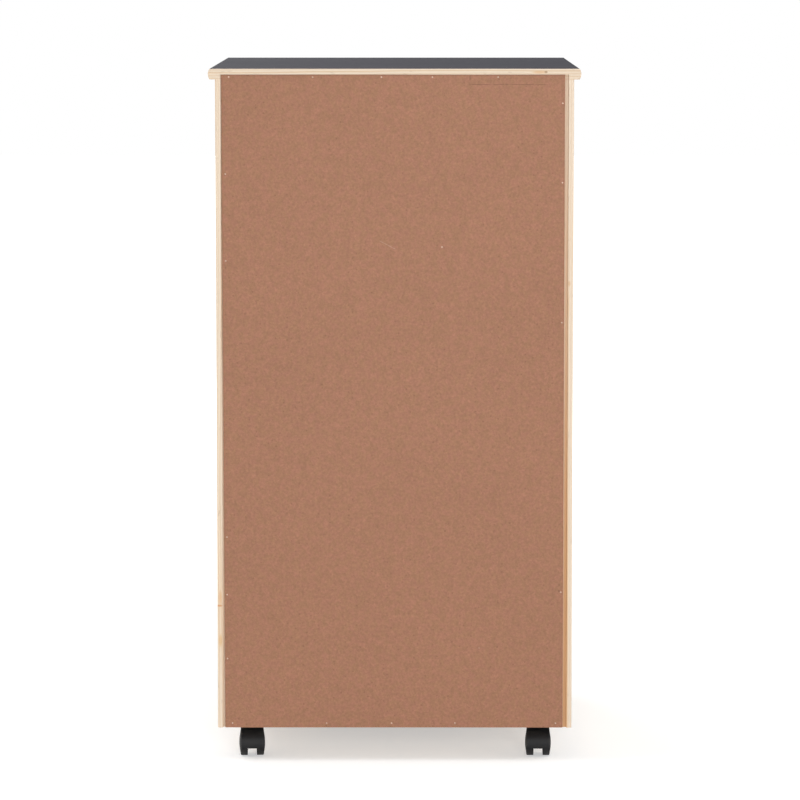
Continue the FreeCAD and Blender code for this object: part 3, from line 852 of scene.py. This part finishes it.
def dress(nodes: Sequence[str], material: bpy.types.Material) -> None:
    """Puts a material on CAD nodes.

    Args:
        nodes: The nodes' names.
        material: What they are made of.
    """
    for name in nodes:
        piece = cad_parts[name]
        if not piece.material_slots:
            piece.data.materials.append(material)
        for place in piece.material_slots:
            place.material = material
        log.info("dressed %s in %s", name, material.name)


def solids_of(node: str) -> list[Box]:
    """Finds the boxes of the separate solids in a CAD node.

    Args:
        node: The node's name.

    Returns:
        Lowest and highest corner of each, in order of their places.
    """
    work = bmesh.new()
    work.from_mesh(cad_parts[node].data)
    bmesh.ops.remove_doubles(work, verts=work.verts, dist=1e-6)
    left, boxes = set(work.verts), []
    while left:
        wave, seen = [left.pop()], []
        while wave:
            vertex = wave.pop()
            seen.append(vertex.co.copy())
            for edge in vertex.link_edges:
                other = edge.other_vert(vertex)
                if other in left:
                    left.remove(other)
                    wave.append(other)
        low = Vector([min(p[k] for p in seen) for k in range(3)])
        high = Vector([max(p[k] for p in seen) for k in range(3)])
        boxes.append((low, high))
    work.free()
    return sorted(boxes, key=lambda box: tuple(round(v, 5) for v in box[0]))


@dataclass
class FastenerSet:
    """Nails or screws of one node, made as one mesh by a geometry tree."""

    name: str
    node: str
    body: str
    aim: Axis
    head_radius: float
    head_height: float
    shank_radius: float
    length: float
    form: HeadForm
    recess: float
    seed: int
    material: bpy.types.Material
    sides: int = 24
    point_share: float = 0.35
    slot_share: float = 0.3
    slot_depth: float = 1.1

    RANDOM_MIN, RANDOM_MAX, RANDOM_RESULT = 2, 3, 1

    def seats(self) -> list[tuple[Vector, Vector]]:
        """Finds where each head's outer face is and which way it looks.

        Returns:
            A point and a direction for each fastener.
        """
        found, k = [], self.aim.value
        for low, high in solids_of(self.node):
            middle = (low + high) / 2
            out = Vector((0.0, 0.0, 0.0))
            if self.aim is Axis.X:
                out.x = -math.copysign(1.0, middle.x)
            else:
                out[k] = 1.0 if self.aim is Axis.Y else -1.0
            seat = middle.copy()
            seat[k] = high[k] if out[k] > 0 else low[k]
            found.append((seat, out))
        return found

    @staticmethod
    def lowered(t: Tree, shape: Socket, drop: Socket, **values: object) -> Socket:
        """Moves a shape down its axis.

        Args:
            t: The tree's writer.
            shape: The shape.
            drop: How far it goes down.
            **values: Other inputs of the move.

        Returns:
            The moved shape.
        """
        made = t.feed(t.node("GeometryNodeTransform"), Geometry=shape, **values)
        return t.feed(made, Translation=t.joined(0.0, 0.0, t.product(drop, -1.0))).outputs[0]

    def head(self, t: Tree, entry: bpy.types.NodeOutputs) -> Socket:
        """Makes the head, domed or countersunk, with a cross recess where there is one.

        Args:
            t: The tree's writer.
            entry: The tree's inputs.

        Returns:
            The head.
        """
        radius, height = entry["Head Radius"], entry["Head Height"]
        ball = t.feed(t.node("GeometryNodeMeshUVSphere"), Segments=self.sides, Rings=self.sides // 2, Radius=1.0)
        dome = self.lowered(t, ball.outputs["Mesh"], height, Scale=t.joined(radius, radius, height))
        cone = t.feed(t.node("GeometryNodeMeshCone"), Vertices=self.sides, Radius_Top=radius, Depth=height)
        t.feed(cone, Radius_Bottom=entry["Shank Radius"])
        sunk = self.lowered(t, cone.outputs["Mesh"], height)
        form = t.node("GeometryNodeSwitch", input_type="GEOMETRY")
        shape = t.feed(form, Switch=entry["Countersunk"], **{"False": dome, "True": sunk}).outputs[0]
        if not self.recess:
            return shape
        slots = t.node("GeometryNodeJoinGeometry")
        deep = t.product(height, self.slot_depth)
        wide = t.product(entry["Recess"], self.slot_share)
        for size in ((entry["Recess"], wide, deep), (wide, entry["Recess"], deep)):
            bar = t.feed(t.node("GeometryNodeMeshCube"), Size=t.joined(*size))
            t.put(slots.inputs[0], bar.outputs["Mesh"])
        cross = t.node("GeometryNodeMeshBoolean", operation="UNION", solver="EXACT")
        t.feed(cross, Mesh_2=slots.outputs[0], Self_Intersection=True)
        cutter = t.node("GeometryNodeMeshBoolean", operation="DIFFERENCE", solver="EXACT")
        return t.feed(cutter, Mesh_1=shape, Mesh_2=cross.outputs["Mesh"]).outputs["Mesh"]

    def shank(self, t: Tree, entry: bpy.types.NodeOutputs) -> Socket:
        """Makes the tapered shank under the head."""
        rod = t.feed(t.node("GeometryNodeMeshCone"), Vertices=self.sides // 2, Radius_Top=entry["Shank Radius"])
        t.feed(rod, Radius_Bottom=t.product(entry["Shank Radius"], self.point_share))
        t.feed(rod, Depth=t.math("SUBTRACT", entry["Length"], entry["Head Height"]))
        return self.lowered(t, rod.outputs["Mesh"], entry["Length"])

    def turns(self, t: Tree, entry: bpy.types.NodeOutputs) -> Socket:
        """Aims each fastener outwards and turns it at random about its axis."""
        way = t.feed(t.node("GeometryNodeInputNamedAttribute", data_type="FLOAT_VECTOR"), Name="out")
        aimed = t.feed(t.node("FunctionNodeAlignRotationToVector", axis="Z"), Vector=way.outputs["Attribute"])
        luck = t.feed(t.node("FunctionNodeRandomValue", data_type="FLOAT"), Seed=entry["Seed"])
        t.put(luck.inputs[self.RANDOM_MIN], 0.0)
        t.put(luck.inputs[self.RANDOM_MAX], math.pi)
        spin = t.feed(t.node("FunctionNodeAxisAngleToRotation"), Axis=(0.0, 0.0, 1.0))
        t.feed(spin, Angle=luck.outputs[self.RANDOM_RESULT])
        turned = t.node("FunctionNodeRotateRotation", rotation_space="LOCAL")
        return t.feed(turned, Rotation=aimed.outputs[0], Rotate_By=spin.outputs[0]).outputs[0]

    def tree(self) -> bpy.types.NodeTree:
        """Builds the geometry tree: one fastener, set on each point.

        Returns:
            The tree, with its sizes as named inputs.
        """
        tree = bpy.data.node_groups.new(f"{self.name}_tree", "GeometryNodeTree")
        kinds = {"Points": "Geometry"}
        kinds.update(dict.fromkeys(("Head Radius", "Head Height", "Shank Radius", "Length", "Recess"), "Float"))
        kinds.update({"Countersunk": "Bool", "Seed": "Int", "Material": "Material"})
        for label, kind in kinds.items():
            tree.interface.new_socket(name=label, in_out="INPUT", socket_type=f"NodeSocket{kind}")
        tree.interface.new_socket(name="Fasteners", in_out="OUTPUT", socket_type="NodeSocketGeometry")
        t = Tree(tree)
        entry, leave = t.node("NodeGroupInput").outputs, t.node("NodeGroupOutput")
        head, shank = self.head(t, entry), self.shank(t, entry)
        whole = t.node("GeometryNodeJoinGeometry")
        t.put(whole.inputs[0], shank)
        t.put(whole.inputs[0], head)
        copies = t.feed(t.node("GeometryNodeInstanceOnPoints"), Points=entry["Points"], Instance=whole.outputs[0])
        t.feed(copies, Rotation=self.turns(t, entry))
        real = t.node("GeometryNodeRealizeInstances")
        t.put(real.inputs[0], copies.outputs[0])
        finish = t.feed(t.node("GeometryNodeSetMaterial"), Geometry=real.outputs[0], Material=entry["Material"])
        t.put(leave.inputs[0], finish.outputs[0])
        return tree

    def build(self) -> bpy.types.Object:
        """Makes the fasteners and lets them stand for their CAD node.

        Returns:
            The finished piece.
        """
        seats = self.seats()
        mesh = bpy.data.meshes.new(f"{self.name}_points")
        mesh.from_pydata([tuple(seat) for seat, _ in seats], [], [])
        way = mesh.attributes.new("out", "FLOAT_VECTOR", "POINT")
        for slot, (_, out) in zip(way.data, seats):
            slot.vector = out
        piece = placed(self.name, mesh)
        modifier = piece.modifiers.new("fasteners", "NODES")
        modifier.node_group = self.tree()
        values = {
            "Head Radius": self.head_radius,
            "Head Height": self.head_height,
            "Shank Radius": self.shank_radius,
            "Length": self.length,
            "Recess": self.recess,
            "Countersunk": self.form is HeadForm.COUNTERSUNK,
            "Seed": self.seed,
            "Material": self.material,
        }
        for item in modifier.node_group.interface.items_tree:
            if item.in_out == "INPUT" and item.name in values:
                modifier[item.identifier] = values[item.name]
        graph = bpy.context.evaluated_depsgraph_get()
        made = bpy.data.meshes.new_from_object(piece.evaluated_get(graph), depsgraph=graph)
        piece.modifiers.clear()
        piece.data = made
        made.name = f"{self.name}_mesh"
        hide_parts(self.node)
        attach(piece, self.body)
        log.info("made %s: %d pieces, %d faces", self.name, len(seats), len(made.polygons))
        return piece


TOP_PINS = (
    Spot(-0.163, 0.7862, 0.011, 0.0022, 0.5, ORANGE),
    Spot(-0.1702, 0.7864, 0.0026, 0.0017, 0.65, BROWN),
)
SIDE_MARKS = {
    "left": (
        Spot(-0.1972, 0.548, 0.0022, 0.0045, 0.6, linear(222, 178, 128)),
        Spot(-0.1966, 0.525, 0.0016, 0.022, 0.5, linear(236, 200, 160)),
        Spot(-0.1945, 0.0, 0.0042, 0.85, 0.85, ORANGE),
    ),
    "right": (
        Spot(0.1985, 0.1895, 0.0024, 0.011, 0.65, linear(236, 186, 136)),
        Spot(0.1995, 0.18, 0.0048, 0.0017, 0.8, linear(220, 156, 100)),
        Spot(0.1985, 0.14, 0.003, 0.01, 0.65, linear(232, 188, 128)),
    ),
}
SIDE_SEEDS = {"left": 5.0, "right": 11.0}


@dataclass
class Case:
    """The fixed box: top, sides, base, back, runners and their fasteners."""

    groups: GrainGroups
    half_top: float = 0.210

    def dress_boards(self) -> None:
        """Dresses the boards of the case."""
        top = PaintedPineFinish(
            "charcoal_top_on_pine", self.groups, Cut.WIDE_LEVEL, seed=3.0, face=Axis.Z, sign=1.0,
            border=0.0035, half_width=self.half_top, spots=TOP_PINS,
        )
        dress(["top_panel"], top.build())
        for word, seed in SIDE_SEEDS.items():
            side = PineFinish(
                f"pine_side_{word}", self.groups, Cut.UPRIGHT_SIDE, seed, stave=0.063, spots=SIDE_MARKS[word]
            )
            dress([f"side_panel_{word}"], side.build())
        dress(["base_panel"], PineFinish("pine_base", self.groups, Cut.WIDE_LEVEL, 17.0).build())
        runner = PineFinish("pine_runner", self.groups, Cut.DEEP_UPRIGHT, 23.0, ring=0.0022, stave=0.3, knots=0.0)
        dress(["drawer_runners_left", "drawer_runners_right"], runner.build())
        dowel = PineFinish("dowel_wood", self.groups, Cut.WIDE_UPRIGHT, 29.0, ring=0.0014, stave=0.3, knots=0.0)
        dress(["case_dowels"], dowel.build())
        dress(["back_panel"], MarkedHardboardFinish("hardboard_back", self.groups).build())

    def fit_fasteners(self, steel: bpy.types.Material) -> None:
        """Makes the nails of the back and the screws of the runners."""
        pin = SteelFinish("pin_steel", self.groups, linear(206, 178, 160), 0.5).build()
        FastenerSet(
            "back_nails", "back_panel_nails", "case", Axis.Y, head_radius=0.00095, head_height=0.0005,
            shank_radius=0.0006, length=0.0145, form=HeadForm.DOMED, recess=0.0, seed=3, material=pin,
        ).build()
        FastenerSet(
            "runner_wood_screws", "runner_screws", "case", Axis.X, head_radius=0.0032, head_height=0.0018,
            shank_radius=0.0016, length=0.015, form=HeadForm.COUNTERSUNK, recess=0.0036, seed=7, material=steel,
        ).build()


@dataclass
class Drawer:
    """One drawer: painted front, bare box, hardboard bottom and turned knob."""

    number: int
    groups: GrainGroups
    first_seed: float = 31.0
    seed_step: float = 7.0

    def dress(self, bottom: bpy.types.Material) -> None:
        """Dresses the drawer's boards.

        Args:
            bottom: The hardboard of its bottom.
        """
        name, seed = f"drawer_{self.number}", self.first_seed + self.seed_step * self.number
        _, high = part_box(f"{name}_front")
        front = PaintedPineFinish(
            f"{name}_charcoal_front", self.groups, Cut.WIDE_UPRIGHT, seed, face=Axis.Y, sign=-1.0,
            border=0.001, half_width=high.x,
        )
        dress([f"{name}_front"], front.build())
        side = PineFinish(f"{name}_pine_sides", self.groups, Cut.DEEP_UPRIGHT, seed + 1.0, stave=0.4)
        dress([f"{name}_side_left", f"{name}_side_right"], side.build())
        back = PineFinish(f"{name}_pine_back", self.groups, Cut.WIDE_UPRIGHT, seed + 2.0, stave=0.4)
        dress([f"{name}_back"], back.build())
        dress([f"{name}_bottom"], bottom)
        knob = PineFinish(
            f"{name}_turned_knob", self.groups, Cut.TURNED, seed + 3.0, ring=0.0017, stave=0.5, knots=0.0
        )
        dress([f"{name}_knob"], knob.build())


@dataclass
class Casters:
    """The four twin-wheel casters."""

    groups: GrainGroups
    places: tuple[str, ...] = ("front_left", "front_right", "rear_left", "rear_right")

    def dress(self, steel: bpy.types.Material) -> None:
        """Dresses the casters and makes their screws.

        Args:
            steel: The plated steel of plates, stems, axles and screws.
        """
        shell = PlasticFinish("caster_shell", self.groups, linear(22, 22, 24), 0.56).build()
        tread = PlasticFinish("caster_tread", self.groups, linear(21, 21, 23), 0.6).build()
        dress(["caster_plates", "caster_kingpins"], steel)
        for place in self.places:
            dress([f"caster_{place}_housing"], shell)
            dress([f"caster_{place}_axle"], steel)
            dress([f"caster_{place}_wheel_left", f"caster_{place}_wheel_right"], tread)
        FastenerSet(
            "caster_plate_screws", "caster_screws", "case", Axis.Z, head_radius=0.0032, head_height=0.0022,
            shank_radius=0.0016, length=0.0112, form=HeadForm.DOMED, recess=0.0034, seed=13, material=steel,
        ).build()


@dataclass(frozen=True)
class Lamp:
    """One square soft lamp: where it hangs, what it points at, its side and its power in watts."""

    name: str
    place: Point
    aim: Point
    size: float
    power: float

    def hang(self) -> None:
        """Hangs the lamp."""
        light = bpy.data.lights.new(self.name, "AREA")
        light.size, light.energy = self.size, self.power
        stand = placed(self.name, light)
        stand.location = self.place
        stand.rotation_euler = (Vector(self.aim) - Vector(self.place)).to_track_quat("-Z", "Y").to_euler()


@dataclass
class Studio:
    """Floor, soft light and the photograph's camera."""

    place: Point = (-0.0151, 4.9854, 0.9216)
    yaw: float = math.radians(0.109)
    pitch: float = math.radians(6.108)
    focal_pixels: float = 4195.8
    image_pixels: float = 800.0
    film: float = 36.0
    floor_half: float = 14.0
    floor_grey: float = 0.8
    ambient: float = 0.44
    lift: float = 0.44
    lift_near: float = 0.5
    lift_far: float = 1.6
    lamps: tuple[Lamp, ...] = (
        Lamp("key_lamp", (-0.8, 4.7, 1.15), (0.0, 0.2, 0.4), 0.8, 60.0),
        Lamp("left_lamp", (2.5, 0.7, 2.3), (0.0, 0.0, 0.1), 1.5, 28.0),
        Lamp("right_lamp", (-2.5, 0.7, 2.3), (0.0, 0.0, 0.1), 1.5, 28.0),
        Lamp("front_lamp", (1.4, -3.4, 1.6), (0.0, 0.0, 0.4), 1.6, 50.0),
    )

    def seen(self, t: Tree) -> Socket:
        """Marks rays that come from the camera, a reflection or a clear surface."""
        path = t.node("ShaderNodeLightPath").outputs
        indirect = t.math("MAXIMUM", path["Is Glossy Ray"], path["Is Transmission Ray"])
        return t.math("MAXIMUM", path["Is Camera Ray"], indirect)

    def camera(self) -> None:
        """Stands the camera where the photograph was taken."""
        lens = bpy.data.cameras.new("photo_camera")
        lens.sensor_width = self.film
        lens.lens = self.focal_pixels / self.image_pixels * self.film
        lens.clip_end = 100.0
        stand = placed("photo_camera", lens)
        level = math.cos(self.pitch)
        ahead = Vector((math.sin(self.yaw) * level, -math.cos(self.yaw) * level, -math.sin(self.pitch)))
        stand.location = self.place
        stand.rotation_euler = ahead.to_track_quat("-Z", "Y").to_euler()
        bpy.context.scene.camera = stand

    def floor(self) -> None:
        """Lays a plain white floor that keeps the shadow."""
        mesh = bpy.data.meshes.new("floor")
        h = self.floor_half
        mesh.from_pydata([(-h, -h, 0.0), (h, -h, 0.0), (h, h, 0.0), (-h, h, 0.0)], [], [(0, 1, 2, 3)])
        piece = placed("floor", mesh)
        material = bpy.data.materials.new("white_floor")
        t = emptied(material)
        matt, glow = t.node("ShaderNodeBsdfDiffuse"), t.node("ShaderNodeEmission")
        matt.inputs["Color"].default_value = (self.floor_grey, self.floor_grey, self.floor_grey, 1.0)
        x, y, _ = t.split(t.node("ShaderNodeTexCoord").outputs["Object"])
        lifted = t.step(t.hypot(x, y), self.lift_near, self.lift_far, self.lift, 1.0)
        t.put(glow.inputs["Strength"], t.product(self.seen(t), lifted))
        both, out = t.node("ShaderNodeAddShader"), t.node("ShaderNodeOutputMaterial")
        t.put(both.inputs[0], matt.outputs[0])
        t.put(both.inputs[1], glow.outputs[0])
        t.put(out.inputs["Surface"], both.outputs[0])
        mesh.materials.append(material)

    def sky(self) -> None:
        """Sets an even soft surround that looks white."""
        world = bpy.data.worlds.new("soft_surround")
        bpy.context.scene.world = world
        t = emptied(world)
        back, out = t.node("ShaderNodeBackground"), t.node("ShaderNodeOutputWorld")
        back.inputs["Color"].default_value = (1.0, 1.0, 1.0, 1.0)
        t.put(back.inputs["Strength"], t.scaled(self.seen(t), self.ambient, 1.0))
        t.put(out.inputs["Surface"], back.outputs[0])

    def build(self) -> None:
        """Sets up camera, floor and light."""
        bpy.context.scene.view_settings.view_transform = "Standard"
        self.camera()
        self.floor()
        self.sky()
        for lamp in self.lamps:
            lamp.hang()


def main() -> None:
    """Builds the studio and dresses the cabinet, sub-assembly by sub-assembly."""
    logging.basicConfig(level=logging.INFO, format="%(name)s: %(message)s")
    Studio().build()
    groups = GrainGroups()
    steel = SteelFinish("plated_steel", groups, linear(205, 204, 200), 0.34).build()
    case = Case(groups)
    case.dress_boards()
    case.fit_fasteners(steel)
    bottom = HardboardFinish("hardboard_bottom", groups).build()
    for number in range(1, 6):
        Drawer(number, groups).dress(bottom)
    Casters(groups).dress(steel)


if __name__ == "__main__":
    main()
